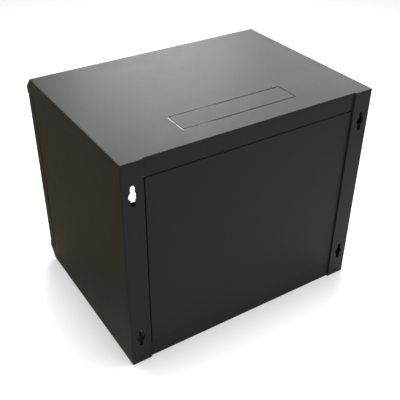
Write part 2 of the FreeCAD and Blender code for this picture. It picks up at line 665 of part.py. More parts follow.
def make_clamp(label, along, sign):
    """One glass clamp: upright beside the window for Z, level above or below it for X."""
    body = new_body(label)
    edge = GLASS_SIDE if along == "Z" else f"(height / 2 - {GLASS_BOTTOM})"
    half = clamp_half(along)
    foot_end = f"({edge} + seat + clamp_sheet + clamp_foot)"
    stud = f"({edge} + seat + clamp_sheet + clamp_foot / 2)"
    frame = f"({DOOR_FRONT} + door_sheet)"
    corners = clamp_profile(edge, foot_end)
    if along == "Z":
        outline = [(sided(sign, out), y) for out, y in corners]
        low, high = f"(height / 2 - {half})", f"(height / 2 + {half})"
    else:
        outline = [(y, f"(height / 2 + {sided(sign, out)})") for out, y in corners]
        low, high = f"-{half}", half
    add_slab(body, along, low, high, lambda sketch: draw_polygon(sketch, outline), label + "_strip")

    def stud_holes(sketch):
        for end in SIDES.values():
            run = sided(end, f"({half} - clamp_stud_end)")
            if along == "Z":
                draw_small_hole(sketch, sided(sign, stud), f"(height / 2 + {run})", "clamp_hole")
            else:
                draw_small_hole(sketch, run, f"(height / 2 + {sided(sign, stud)})", "clamp_hole")
    cut_slab(body, "Y", frame, f"({frame} + clamp_sheet)", stud_holes, label + "_holes")
    return body


def clamp_stud_places():
    """(X, Z) of the studs that hold the four glass clamps."""
    places = []
    side = f"({GLASS_SIDE} + seat + clamp_sheet + clamp_foot / 2)"
    level = f"(height / 2 - {GLASS_BOTTOM} + seat + clamp_sheet + clamp_foot / 2)"
    for sign in SIDES.values():
        for end in SIDES.values():
            up = sided(end, f"({clamp_half('Z')} - clamp_stud_end)")
            along = sided(end, f"({clamp_half('X')} - clamp_stud_end)")
            places.append((sided(sign, side), f"(height / 2 + {up})"))
            places.append((along, f"(height / 2 + {sided(sign, level)})"))
    return places


# ---------------------------------------------------------------- hinges

def make_hinge_bracket(label, on_top):
    """A U bracket inside the door's edge, with two ears that the hinge pin passes."""
    body = new_body(label)
    wall = f"(-{DOOR_SIDE} + door_sheet)"
    web = f"({wall} + bracket_sheet)"
    tip = f"({wall} + ear_reach)"
    first = f"({DOOR_TOP} - ear_drop)"
    second = f"({DOOR_TOP} - ear_drop - ear_spacing)"
    corners = [(wall, first), (tip, first), (tip, f"({first} - bracket_sheet)"),
               (web, f"({first} - bracket_sheet)"), (web, f"({second} + bracket_sheet)"),
               (tip, f"({second} + bracket_sheet)"), (tip, second), (wall, second)]
    if not on_top:
        corners = [(x, flipped(z)) for x, z in corners]
    add_slab(body, "Y", f"({HINGE_Y} - ear_width / 2)", f"({HINGE_Y} + ear_width / 2)",
             lambda sketch: draw_polygon(sketch, corners), label + "_strap")
    cut_slab(body, "Z", DOOR_BOTTOM, DOOR_TOP, lambda sketch: draw_circle(
        sketch, HINGE_X, HINGE_Y, "pin + running"), label + "_holes")
    return body


def make_release_pin(label):
    """The upper hinge pin, bent at its foot into the lever that pulls it down."""
    body = new_body(label)
    top = "(lever_drop + ear_spacing + ear_drop + pin_reach)"
    path = new_sketch(body, "Y", "0", label + "_path")
    bend_start = "lever_bend"
    centre = Vector(number("lever_bend"), number("lever_bend"), 0)
    quarter = math.pi / 2
    shaft = path.addGeometry(Part.LineSegment(Vector(0, number(top), 0), Vector(0, centre.y, 0)))
    bend = path.addGeometry(Part.ArcOfCircle(
        Part.Circle(centre, Vector(0, 0, 1), centre.x), 2 * quarter, 3 * quarter))
    arm = path.addGeometry(Part.LineSegment(Vector(centre.x, 0, 0), Vector(number("lever_reach"), 0, 0)))
    path.addConstraint(Sketcher.Constraint("Tangent", shaft, 2, bend, 1))
    path.addConstraint(Sketcher.Constraint("Tangent", bend, 2, arm, 1))
    pin_point(path, shaft, 1, "0", top)
    pin_point(path, bend, 3, "lever_bend", bend_start)
    pin_point(path, arm, 2, "lever_reach", "0")
    section = new_sketch(body, "Z", top, label + "_section")
    draw_circle(section, "0", "0", "pin")
    rod = body.newObject("PartDesign::AdditivePipe", label + "_rod")
    rod.Profile = section
    rod.Spine = (path, ["Edge1", "Edge2", "Edge3"])
    doc.recompute()
    collar_top = "(lever_drop + ear_spacing - bracket_sheet - seat)"
    collar = add_slab(body, "Z", f"({collar_top} - collar)", collar_top,
                      lambda sketch: draw_circle(sketch, "0", "0", "collar_radius"), label + "_collar")
    tip = body.newObject("PartDesign::Chamfer", label + "_tip")
    tip.Base = (collar, edges_where(collar.Shape, lambda edge: lies_in(edge, z=number(top))))
    tip.setExpression("Size", bound("pin / 4"))
    doc.recompute()
    place(body, HINGE_X, HINGE_Y, f"({DOOR_TOP} - ear_drop - ear_spacing - lever_drop)")
    return body


def make_spring(label):
    """The coil spring between the lower ear and the collar of the release pin.

    The wire is square in section and bends in SPRING_STEPS straight steps to a turn."""
    low = f"({DOOR_TOP} - ear_drop - ear_spacing + bracket_sheet)"
    wire = number("spring_wire")
    coil = number("spring_radius")
    steps = SPRING_STEPS * round(number("spring_turns"))
    rise = number("ear_spacing - 2 * bracket_sheet - seat - collar - 2 * spring_wire - seat")
    up = Vector(0, 0, 1)
    sections = []
    for step in range(steps + 1):
        turn = 2 * math.pi * step / SPRING_STEPS
        out = Vector(math.cos(turn), math.sin(turn), 0)
        middle = out * coil + up * (rise * step / steps)
        sections.append([middle + out * wire, middle + up * wire, middle - out * wire, middle - up * wire])
    corners = [(end[0], end[1], end[2], end[3], end[0]) for end in (sections[0], sections[-1])]
    for first, second in zip(sections, sections[1:]):
        for corner in range(4):
            following = (corner + 1) % 4
            corners.append((first[corner], first[following], second[following], first[corner]))
            corners.append((first[corner], second[following], second[corner], first[corner]))
    spring = doc.addObject("Part::Feature", label)
    spring.Label = label
    spring.Shape = Part.Solid(Part.Shell([Part.Face(Part.makePolygon(list(ring))) for ring in corners]))
    place(spring, HINGE_X, HINGE_Y, f"({low} + spring_wire + seat / 2)")
    return spring


def turned_body(label, profile, name):
    """A body turned about its own Z from (radius, Z) corners."""
    body = new_body(label)
    sketch = new_sketch(body, "Y", "0", name + "_profile")
    draw_polygon(sketch, profile)
    turning = body.newObject("PartDesign::Revolution", name)
    turning.Profile = sketch
    turning.ReferenceAxis = (sketch, ["V_Axis"])
    turning.Angle = 360
    doc.recompute()
    return body


def make_fixed_pin(label):
    """The lower hinge pin, which stands in the bottom cover's hood floor."""
    floor = "(pin_head + sheet)"
    top = f"({floor} + door_reveal + pin_foot)"
    body = turned_body(label, [
        ("0", "0"), ("pin_head_radius", "0"), ("pin_head_radius", "pin_head"), ("pin", "pin_head"),
        ("pin", f"({top} - pin / 4)"), ("(pin * 3 / 4)", top), ("0", top)], label + "_turning")
    place(body, HINGE_X, HINGE_Y, "(skirt - sheet - pin_head)")
    return body


def make_washer(label):
    body = turned_body(label, [
        ("(pin + running)", "0"), ("washer_radius", "0"), ("washer_radius", "washer"),
        ("(pin + running)", "washer")], label + "_turning")
    place(body, HINGE_X, HINGE_Y, "skirt")
    return body


# ---------------------------------------------------------------- lock

INWARD = Rotation(Vector(1, 0, 0), -90)
LOCK_DEPTH = f"({CAM_FRONT} - {DOOR_FRONT})"


def make_lock_body(label):
    """The barrel with its bezel; its own Z runs from the door's face into the cabinet."""
    end = f"({LOCK_DEPTH} - lock_back)"
    body = turned_body(label, [
        ("lock_plug", "-lock_bezel"), ("(lock_bezel_radius - lock_bezel / 2)", "-lock_bezel"),
        ("lock_bezel_radius", "-lock_bezel / 2"), ("lock_bezel_radius", "0"), ("lock_barrel", "0"),
        ("lock_barrel", end), ("lock_plug", end)], label + "_turning")
    place(body, LOCK_X, DOOR_FRONT, "height / 2", INWARD)
    return body


def make_lock_plug(label):
    """The plug that a key turns, with its keyway and the neck that carries the cam."""
    radius = "(lock_plug - running)"
    body = turned_body(label, [
        ("0", "-lock_bezel"), (radius, "-lock_bezel"), (radius, LOCK_DEPTH), ("cam_neck", LOCK_DEPTH),
        ("cam_neck", f"({LOCK_DEPTH} + cam)"), ("cam_screw", f"({LOCK_DEPTH} + cam)"),
        ("cam_screw", f"({LOCK_DEPTH} + cam - cam_screw_length)"),
        ("0", f"({LOCK_DEPTH} + cam - cam_screw_length)")], label + "_turning")
    cut_slab(body, "Z", "-lock_bezel", "(keyway_depth - lock_bezel)", lambda sketch: draw_rectangle(
        sketch, "-keyway_width / 2", "-keyway_length / 2", "keyway_width / 2", "keyway_length / 2"),
        label + "_keyway")
    place(body, LOCK_X, DOOR_FRONT, "height / 2", INWARD)
    return body


def make_lock_cam(label):
    """The cam, which hangs down when the door is free and turns behind the flange to lock."""
    body = new_body(label)
    add_slab(body, "Z", "0", "cam", lambda sketch: draw_slot(
        sketch, ("0", "0"), ("0", "cam_length"), "cam_width / 2"), label + "_plate")
    cut_slab(body, "Z", "0", "cam", lambda sketch: draw_circle(
        sketch, "0", "0", "cam_neck + running"), label + "_hole")
    place(body, LOCK_X, CAM_FRONT, "height / 2", INWARD)
    return body


# ---------------------------------------------------------------- rack rails and depth brackets

def make_rail(label, sign):
    """An L-shaped rack rail with three square holes to each rack unit."""
    body = new_body(label)
    inner = "(rail_clear / 2)"
    leg_end = f"({RAIL_FRONT} + rail_leg)"
    flange_back = f"({RAIL_FRONT} + rail_sheet)"
    leg_in = f"({RAIL_OUTER} - rail_sheet)"
    add_slab(body, "Z", "rail_ends", "(height - rail_ends)", lambda sketch: draw_polygon(
        sketch, [(sided(sign, x), y) for x, y in [
            (inner, RAIL_FRONT), (RAIL_OUTER, RAIL_FRONT), (RAIL_OUTER, leg_end), (leg_in, leg_end),
            (leg_in, flange_back), (inner, flange_back)]]), label + "_angle")

    lowest = "(height / 2 - rack_units * rack_unit / 2 + rack_unit / 2)"
    row = sided(sign, "rack_hole_spacing / 2")

    def unit_holes(sketch):
        for step in (-1, 0, 1):
            middle = f"({lowest} + {step} * rack_hole_step)"
            draw_rectangle(sketch, f"({row} - rack_hole / 2)", f"({middle} - rack_hole / 2)",
                           f"({row} + rack_hole / 2)", f"({middle} + rack_hole / 2)")
    holes = cut_slab(body, "Y", RAIL_FRONT, flange_back, unit_holes, label + "_unit")
    units = body.newObject("PartDesign::LinearPattern", label + "_units")
    units.Originals = [holes]
    units.Direction = (holes.Profile[0], ["V_Axis"])
    units.setExpression("Length", bound("(rack_units - 1) * rack_unit"))
    units.setExpression("Occurrences", bound("rack_units"))
    body.Tip = units
    doc.recompute()

    def bolt_holes(sketch):
        for height in (BRACKET_MIDDLE, flipped(BRACKET_MIDDLE)):
            draw_small_hole(sketch, RAIL_BOLT_Y, height, "bolt_hole")
    faces = sorted((sided(sign, leg_in), sided(sign, RAIL_OUTER)), key=number)
    cut_slab(body, "X", faces[0], faces[1], bolt_holes, label + "_bolt_holes")
    return body


def make_depth_bracket(label, sign, on_top):
    """A channel from the front flange to the wall column, slotted for the rail's bolts."""
    body = new_body(label)
    low = "bracket_edge"
    high = "(bracket_edge + bracket_height)"
    back = f"({REAR} - sheet)"

    def at_end(pairs):
        return [(u, flipped(v)) for u, v in pairs] if on_top else pairs

    channel = at_end([
        (sided(sign, BRACKET_WEB), low), (sided(sign, BRACKET_SIDE), low),
        (sided(sign, BRACKET_SIDE), f"({low} + bracket_sheet)"),
        (sided(sign, BRACKET_WEB_BACK), f"({low} + bracket_sheet)"),
        (sided(sign, BRACKET_WEB_BACK), f"({high} - bracket_sheet)"),
        (sided(sign, BRACKET_SIDE), f"({high} - bracket_sheet)"),
        (sided(sign, BRACKET_SIDE), high), (sided(sign, BRACKET_WEB), high)])
    add_slab(body, "Y", FRAME_BACK, back, lambda sketch: draw_polygon(sketch, channel),
             label + "_channel")
    tab = at_end([
        (sided(sign, BRACKET_WEB), low), (sided(sign, BRACKET_SIDE), low),
        (sided(sign, BRACKET_SIDE), high), (sided(sign, BRACKET_WEB), high)])
    for end, start, stop in (("front", FRAME_BACK, f"({FRAME_BACK} + bracket_sheet)"),
                             ("rear", f"({back} - bracket_sheet)", back)):
        add_slab(body, "Y", start, stop, lambda sketch: draw_polygon(sketch, tab),
                 f"{label}_{end}_tab")
        middle = flipped(BRACKET_MIDDLE) if on_top else BRACKET_MIDDLE
        cut_slab(body, "Y", start, stop, lambda sketch: draw_small_hole(
            sketch, sided(sign, BRACKET_STUD_X), middle, "bolt_hole"), f"{label}_{end}_hole")

    def rail_slots(sketch):
        height = flipped(BRACKET_MIDDLE) if on_top else BRACKET_MIDDLE
        for step in (0, 1):
            start = f"({RAIL_BOLT_Y} + {step} * bracket_slot_pitch)"
            draw_slot(sketch, (start, height), (f"({start} + rail_travel)", height), "bracket_slot")
    faces = sorted((sided(sign, BRACKET_WEB), sided(sign, BRACKET_WEB_BACK)), key=number)
    cut_slab(body, "X", faces[0], faces[1], rail_slots, label + "_slots")
    return body


# ---------------------------------------------------------------- fasteners

def make_prism(name, sides, radius, low, high):
    """A prism on the Z axis, from low to high: six sides for a nut, FASTENER_SIDES for a shank."""
    piece = doc.addObject("Part::Prism", name)
    piece.Polygon = sides
    piece.setExpression("Circumradius", bound(radius))
    piece.setExpression("Height", bound(f"{high} - {low}"))
    piece.setExpression("Placement.Base.z", bound(low))
    return piece


def make_nut(name, radius, bore, low, high):
    """A hexagonal nut on the Z axis, from low to high."""
    nut = doc.addObject("Part::Cut", name)
    nut.Base = make_prism(name + "_block", 6, radius, low, high)
    nut.Tool = make_prism(name + "_bore", FASTENER_SIDES, bore, low, high)
    return nut


def make_screw(name, head, head_low, head_high, shank, low, high):
    """A head and a shank on the Z axis, fused."""
    screw = doc.addObject("Part::Fuse", name)
    screw.Base = make_prism(name + "_head", FASTENER_SIDES, head, head_low, head_high)
    screw.Tool = make_prism(name + "_shank", FASTENER_SIDES, shank, low, high)
    return screw


def group(label, pieces):
    """Like fasteners, kept as separate solids of one sub-part."""
    bundle = doc.addObject("Part::Compound", label)
    bundle.Label = label
    bundle.Links = pieces
    return bundle


TOWARDS = {
    "+X": Rotation(Vector(0, 1, 0), 90),
    "-X": Rotation(Vector(0, 1, 0), -90),
    "+Y": Rotation(Vector(1, 0, 0), -90),
    "-Y": Rotation(Vector(1, 0, 0), 90),
    "+Z": Rotation(),
}


def make_rail_fixings(side, sign):
    """Two bolts through a rail's leg and the bracket slots, with their nuts."""
    outward = TOWARDS["+X" if sign > 0 else "-X"]
    leg_in = sided(sign, f"({RAIL_OUTER} - rail_sheet)")
    nut_low = "(rail_sheet + seat + bracket_sheet + seat)"
    nut_high = f"({nut_low} + nut)"
    bolts = []
    nuts = []
    for end, height in (("upper", flipped(BRACKET_MIDDLE)), ("lower", BRACKET_MIDDLE)):
        bolt = make_screw(f"rail_bolt_{side}_{end}", "bolt_head", "-bolt_head_height", "0", "bolt",
                          "-bolt_head_height / 2", f"({nut_high} + stud_end)")
        nut = make_nut(f"rail_nut_{side}_{end}", "nut_radius", "nut_bore", nut_low, nut_high)
        for piece, pieces in ((bolt, bolts), (nut, nuts)):
            place(piece, leg_in, RAIL_BOLT_Y, height, outward)
            pieces.append(piece)
    return [group(f"rail_bolts_{side}", bolts), group(f"rail_nuts_{side}", nuts)]


def make_stud_set(label, nut_label, spots, sizes):
    """Weld studs and their nuts; each spot is (x, y, z, direction), with Z along the stud."""
    stud_radius, nut_radius, bore, through, nut_height, end = sizes
    nut_top = f"({through} + {nut_height})"
    studs = []
    nuts = []
    for count, (x, y, z, direction) in enumerate(spots, start=1):
        stud = make_prism(f"{label}_{count}", FASTENER_SIDES, stud_radius, "0", f"({nut_top} + {end})")
        nut = make_nut(f"{nut_label}_{count}", nut_radius, bore, through, nut_top)
        for piece, pieces in ((stud, studs), (nut, nuts)):
            place(piece, x, y, z, TOWARDS[direction])
            pieces.append(piece)
    return [group(label, studs), group(nut_label, nuts)]


def bracket_stud_spots():
    """On the inside of both side panels' front flanges and wall columns."""
    return [(sided(sign, BRACKET_STUD_X), y, z, direction)
            for sign in SIDES.values()
            for z in (BRACKET_MIDDLE, flipped(BRACKET_MIDDLE))
            for y, direction in ((FRAME_BACK, "+Y"), (f"({REAR} - sheet)", "-Y"))]


def cover_stud_spots():
    """On the inside of both covers' side skirts, behind the tongues of the side panels."""
    return [(sided(sign, f"({SIDE} - sheet)"), run, z, "-X" if sign > 0 else "+X")
            for sign in SIDES.values()
            for z in (BRACKET_MIDDLE, flipped(BRACKET_MIDDLE))
            for run in COVER_STUD_RUNS]


def make_earth_stud(label):
    """The earth stud on the floor, with its nut."""
    stud = make_screw(label + "_bolt", "earth_disc", "0", "sheet", "bolt", "sheet / 2",
                      "(sheet + 2 * nut + stud_end)")
    nut = make_nut(label + "_nut", "nut_radius", "nut_bore", "sheet", "(sheet + nut)")
    for piece in (stud, nut):
        place(piece, f"({BRACKET_WEB} - earth_side)", f"({REAR} - earth_rear)", "sheet", TOWARDS["+Z"])
    return group(label, [stud, nut])


# ---------------------------------------------------------------- the cabinet

def build_cabinet():
    """Every sub-part, in the order in which the cabinet is put together."""
    parts = [make_cover("top_cover", True), make_cover("bottom_cover", False)]
    parts += [make_side_panel(f"side_panel_{side}", sign) for side, sign in SIDES.items()]
    parts.append(make_rear_panel("rear_panel"))
    parts += make_stud_set("cover_studs", "cover_nuts", cover_stud_spots(),
                           ("bolt", "nut_radius", "nut_bore", "(sheet + seat)", "nut", "stud_end"))

    parts += [make_depth_bracket(f"depth_bracket_{end}_{side}", sign, on_top)
              for end, on_top in ENDS.items() for side, sign in SIDES.items()]
    parts += make_stud_set("bracket_studs", "bracket_nuts", bracket_stud_spots(),
                           ("bolt", "nut_radius", "nut_bore", "bracket_sheet", "nut", "stud_end"))
    for side, sign in SIDES.items():
        parts.append(make_rail(f"rail_{side}", sign))
        parts += make_rail_fixings(side, sign)
    parts.append(make_earth_stud("earth_stud"))

    seal_low = "(skirt + seal_top)"
    seal_in = "(skirt + seal_top + seal_width)"
    parts.append(make_ring("door_seal", f"({FRAME_FRONT} - seal)", FRAME_FRONT,
                           (f"({SIDE} - seal_side)", seal_low, flipped(seal_low)),
                           (f"({SIDE} - seal_side - seal_width)", seal_in, flipped(seal_in))))

    parts.append(make_door_frame("door_frame"))
    window_low = f"({DOOR_BOTTOM} + door_rail - tape_margin)"
    parts.append(make_ring("glass_tape", f"({DOOR_FRONT} + door_sheet)", GLASS_FRONT,
                           (GLASS_SIDE, GLASS_BOTTOM, flipped(GLASS_BOTTOM)),
                           ("(window_width / 2 + tape_margin)", window_low, flipped(window_low))))
    parts.append(make_glass("door_glass"))
    for name, along, sign in (("left", "Z", -1), ("right", "Z", 1), ("lower", "X", -1), ("upper", "X", 1)):
        parts.append(make_clamp(f"glass_clamp_{name}", along, sign))
    frame = f"({DOOR_FRONT} + door_sheet)"
    parts += make_stud_set("clamp_studs", "clamp_nuts",
                           [(x, frame, z, "+Y") for x, z in clamp_stud_places()],
                           ("clamp_stud", "clamp_nut_radius", "(clamp_stud + running)", "clamp_sheet",
                            "clamp_nut", "clamp_nut / 2"))

    parts.append(make_hinge_bracket("hinge_bracket_upper", True))
    parts.append(make_hinge_bracket("hinge_bracket_lower", False))
    parts.append(make_release_pin("hinge_release_pin"))
    parts.append(make_spring("hinge_spring"))
    parts.append(make_fixed_pin("hinge_fixed_pin"))
    parts.append(make_washer("hinge_washer"))

    parts.append(make_lock_body("lock_body"))
    lock_ring = make_nut("lock_nut", "lock_nut_radius", "(lock_barrel + lock_nut_play)", "0", "lock_nut")
    place(lock_ring, LOCK_X, frame, "height / 2", INWARD)
    parts.append(lock_ring)
    parts.append(make_lock_plug("lock_plug"))
    parts.append(make_lock_cam("lock_cam"))
    cam_screw = make_screw(
        "lock_cam_screw", "cam_screw_head", "0", "cam_screw_head_height",
        "(cam_screw - running)", "(running - cam_screw_length)", "cam_screw_head_height / 2")
    place(cam_screw, LOCK_X, offset(CAM_FRONT, "cam"), "height / 2", INWARD)
    parts.append(cam_screw)
    return parts


def check_document(parts):
    """Stops on a failed object, on a cut that removed nothing and on a bad solid."""
    for item in doc.Objects:
        bad = [state for state in item.State if state in ("Invalid", "Error")]
        assert not bad, f"{item.Name}: {item.State} {item.getStatusString()}"
        if item.TypeId == "PartDesign::Pocket":
            assert item.Shape.Volume < item.BaseFeature.Shape.Volume - 1e-3, f"{item.Name} cuts nothing"
    for part in parts:
        assert not part.Shape.isNull() and part.Shape.isValid(), part.Label
        assert part.Shape.Volume > 0, part.Label


parts = build_cabinet()
doc.recompute()
check_document(parts)
os.makedirs("parts", exist_ok=True)
for part in parts:
    part.Shape.exportStep(f"parts/{part.Label}.step")
print(len(parts), "sub-parts,", sum(len(part.Shape.Solids) for part in parts), "solids")
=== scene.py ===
import json
import math

import bmesh
import bpy
from mathutils import Matrix, Vector


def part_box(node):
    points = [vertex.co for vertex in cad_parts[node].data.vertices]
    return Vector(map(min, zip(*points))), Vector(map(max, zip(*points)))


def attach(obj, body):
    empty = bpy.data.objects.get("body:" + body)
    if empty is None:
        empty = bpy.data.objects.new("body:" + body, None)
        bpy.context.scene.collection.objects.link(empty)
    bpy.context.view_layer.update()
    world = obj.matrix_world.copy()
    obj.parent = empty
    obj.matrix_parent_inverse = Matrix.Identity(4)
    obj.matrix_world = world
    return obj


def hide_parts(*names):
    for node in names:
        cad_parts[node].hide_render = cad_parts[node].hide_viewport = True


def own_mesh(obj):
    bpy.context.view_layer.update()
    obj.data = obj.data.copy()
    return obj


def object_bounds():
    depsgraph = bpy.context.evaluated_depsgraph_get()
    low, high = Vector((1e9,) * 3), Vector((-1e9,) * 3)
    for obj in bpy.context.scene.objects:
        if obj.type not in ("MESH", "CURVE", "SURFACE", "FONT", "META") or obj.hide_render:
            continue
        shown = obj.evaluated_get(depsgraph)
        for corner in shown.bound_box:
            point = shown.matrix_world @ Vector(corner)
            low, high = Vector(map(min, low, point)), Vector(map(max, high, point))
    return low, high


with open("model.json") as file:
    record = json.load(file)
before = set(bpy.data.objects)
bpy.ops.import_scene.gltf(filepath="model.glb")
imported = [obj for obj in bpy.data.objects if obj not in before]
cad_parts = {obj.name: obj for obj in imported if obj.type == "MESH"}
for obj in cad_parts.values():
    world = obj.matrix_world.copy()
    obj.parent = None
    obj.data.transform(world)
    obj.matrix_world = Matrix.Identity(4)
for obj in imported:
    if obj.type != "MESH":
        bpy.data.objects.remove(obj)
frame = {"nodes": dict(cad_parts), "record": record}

# The looks of a wall mount network cabinet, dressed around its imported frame. Metres, +Z up, the
# door faces -Y and the wall side +Y; right, +X, is the lock's side.

CAD_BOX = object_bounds()
NODES = frame["nodes"]
BODY_OF = {node: body for body, nodes in frame["record"]["behaviour"]["bodies"].items()
           for node in nodes}
SLOT_OF = {subpart["node"]: subpart["material_slot"] for subpart in frame["record"]["subparts"]}
MM = 0.001
NEAR = 0.02 * MM             # places closer than this are the same
TURN = 2 * math.pi


# ---------------------------------------------------------------- node materials

class Finish:
    """A Principled material, with short calls for the nodes that vary it over the surface."""

    def __init__(self, name, **sockets):
        self.material = bpy.data.materials.new(name)
        self.material.use_nodes = True
        self.tree = self.material.node_tree
        self.shader = self.tree.nodes["Principled BSDF"]
        self.place = self.node("ShaderNodeTexCoord").outputs["Object"]
        for socket, value in sockets.items():
            self.shader.inputs[socket.replace("_", " ")].default_value = value

    def node(self, kind, **settings):
        """A new node, with its own settings; its sockets are set after it."""
        made = self.tree.nodes.new(kind)
        for name, value in settings.items():
            setattr(made, name, value)
        return made

    def link(self, source, target):
        self.tree.links.new(source, target)

    def stretched(self, scale):
        """Object coordinates, drawn out along an axis by a small scale on it."""
        mapping = self.node("ShaderNodeMapping")
        mapping.inputs["Scale"].default_value = scale
        self.link(self.place, mapping.inputs["Vector"])
        return mapping.outputs["Vector"]

    def noise(self, size, detail=2.0, roughness=0.5, stretch=None):
        """Noise from 0 to 1 with blobs of about that size in metres."""
        made = self.node("ShaderNodeTexNoise")
        made.inputs["Scale"].default_value = 1 / size
        made.inputs["Detail"].default_value = detail
        made.inputs["Roughness"].default_value = roughness
        self.link(self.stretched(stretch) if stretch else self.place, made.inputs["Vector"])
        return made.outputs["Fac"]

    def cells(self, size):
        """A random grey for each cell of a Voronoi pattern, with cells of about that size."""
        made = self.node("ShaderNodeTexVoronoi")
        made.inputs["Scale"].default_value = 1 / size
        self.link(self.place, made.inputs["Vector"])
        return made.outputs["Color"]

    def spread(self, source, low, high, start=0.35, stop=0.65):
        """source between start and stop, turned into a number between low and high."""
        made = self.node("ShaderNodeMapRange")
        ends = {"From Min": start, "From Max": stop, "To Min": low, "To Max": high}
        for name, value in ends.items():
            made.inputs[name].default_value = value
        self.link(source, made.inputs["Value"])
        return made.outputs["Result"]

    def ramp(self, source, *stops):
        """source as a colour, from (position, colour) stops."""
        made = self.node("ShaderNodeValToRGB")
        elements = made.color_ramp.elements
        while len(elements) < len(stops):
            elements.new(0.5)
        for element, (position, colour) in zip(elements, stops):
            element.position = position
            element.color = (*colour, 1)
        self.link(source, made.inputs["Fac"])
        return made.outputs["Color"]

    def mix(self, factor, source, colour):
        """source's colour, drawn towards a plain colour by a factor from 0 to 1."""
        made = self.node("ShaderNodeMix", data_type="RGBA")
        first, second = (socket for socket in made.inputs if socket.type == "RGBA")
        self.link(factor, made.inputs["Factor"])
        self.link(source, first)
        second.default_value = (*colour, 1)
        return next(socket for socket in made.outputs if socket.type == "RGBA")

    def calc(self, operation, first, second):
        """A sum or product of two sockets."""
        made = self.node("ShaderNodeMath", operation=operation)
        for socket, value in zip(made.inputs, (first, second)):
            self.link(value, socket)
        return made.outputs["Value"]

    def bump(self, height, distance, strength, after=None):
        """The normal of a surface with that relief, on top of another normal if one is given."""
        made = self.node("ShaderNodeBump")
        made.inputs["Strength"].default_value = strength
        made.inputs["Distance"].default_value = distance
        self.link(height, made.inputs["Height"])
        if after is not None:
            self.link(after, made.inputs["Normal"])
        return made.outputs["Normal"]

    def rounded(self, radius):
        """The normal of edges rounded to that radius."""
        made = self.node("ShaderNodeBevel", samples=6)
        made.inputs["Radius"].default_value = radius
        return made.outputs["Normal"]

    def put(self, socket, source):
        """Drives one of the shader's sockets."""
        self.link(source, self.shader.inputs[socket])


def black_powder_coat():
    """Fine satin powder coat: orange peel, a sandy grain, stray dust and faint rub marks.

    Its specular level is as low as the sheen on the photograph's panels."""
    finish = Finish("black_powder_coat", IOR=1.5, Specular_IOR_Level=0.06)
    grain = finish.noise(0.0011, detail=2, roughness=0.6)
    peel = finish.noise(0.0035, detail=1)
    tone = finish.spread(finish.noise(0.0016, detail=3, roughness=0.7), 0, 1)
    base = finish.ramp(tone, (0.0, (0.0155, 0.0151, 0.0143)), (1.0, (0.0212, 0.0207, 0.0198)))
    specks = finish.spread(finish.noise(0.0022, detail=4, roughness=0.8), 0, 1,
                           start=0.68, stop=0.76)
    dusty = finish.spread(finish.noise(0.05, detail=5, roughness=0.65), 0, 0.25,
                          start=0.5, stop=0.75)
    dust = finish.calc("MULTIPLY", specks, dusty)
    finish.put("Base Color", finish.mix(dust, base, (0.10, 0.095, 0.085)))
    rubbed = finish.spread(finish.noise(0.05, detail=6, roughness=0.7), 0.415, 0.445)
    fine = finish.spread(grain, -0.03, 0.03)
    finish.put("Roughness", finish.calc("ADD", rubbed, fine))
    edges = finish.rounded(0.7 * MM)
    normal = finish.bump(peel, 0.05 * MM, 0.35, after=edges)
    finish.put("Normal", finish.bump(grain, 0.02 * MM, 0.5, after=normal))
    return finish.material


def zinc_plate():
    """Bright zinc on rolled sheet: a grain along the rolling, faint spangles, stray stains."""
    finish = Finish("zinc_plate", Metallic=1.0)
    spangle = finish.cells(0.006)
    rolling = finish.noise(0.0008, detail=3, stretch=(1, 1, 0.03))
    tone = finish.ramp(spangle, (0.0, (0.36, 0.375, 0.39)), (1.0, (0.46, 0.47, 0.48)))
    stain = finish.spread(finish.noise(0.03, detail=5), 0, 0.3, start=0.55, stop=0.8)
    finish.put("Base Color", finish.mix(stain, tone, (0.27, 0.27, 0.26)))
    finish.put("Roughness", finish.spread(rolling, 0.24, 0.42))
    edges = finish.rounded(0.3 * MM)
    finish.put("Normal", finish.bump(rolling, 0.03 * MM, 0.4, after=edges))
    return finish.material


def zinc_fastener():
    """Zinc plated steel with a faint blue passivation and dull flats."""
    finish = Finish("zinc_fastener", Metallic=1.0)
    cloud = finish.noise(0.004, detail=4)
    finish.put("Base Color", finish.ramp(cloud, (0.3, (0.34, 0.365, 0.41)),
                                         (0.7, (0.49, 0.49, 0.465))))
    finish.put("Roughness", finish.spread(cloud, 0.26, 0.4))
    finish.put("Normal", finish.bump(finish.noise(0.0006, detail=2), 0.02 * MM, 0.3))
    return finish.material


def spring_steel():
    """Dark oiled wire, drawn along its length."""
    finish = Finish("spring_steel", Metallic=1.0)
    cloud = finish.noise(0.003, detail=3)
    finish.put("Base Color", finish.ramp(cloud, (0.3, (0.22, 0.22, 0.23)),
                                         (0.7, (0.34, 0.33, 0.32))))
    finish.put("Roughness", finish.spread(cloud, 0.25, 0.38))
    return finish.material


def lock_chrome():
    """Nickel plated zinc, with hairline scratches round the keyway."""
    finish = Finish("lock_chrome", Metallic=1.0)
    hairs = finish.noise(0.0007, detail=4, roughness=0.8, stretch=(0.08, 1, 1))
    haze = finish.noise(0.006, detail=3)
    finish.put("Base Color", finish.ramp(haze, (0.3, (0.33, 0.325, 0.31)),
                                         (0.7, (0.41, 0.405, 0.395))))
    finish.put("Roughness", finish.spread(hairs, 0.10, 0.30, start=0.45, stop=0.75))
    finish.put("Normal", finish.bump(hairs, 0.01 * MM, 0.3))
    return finish.material


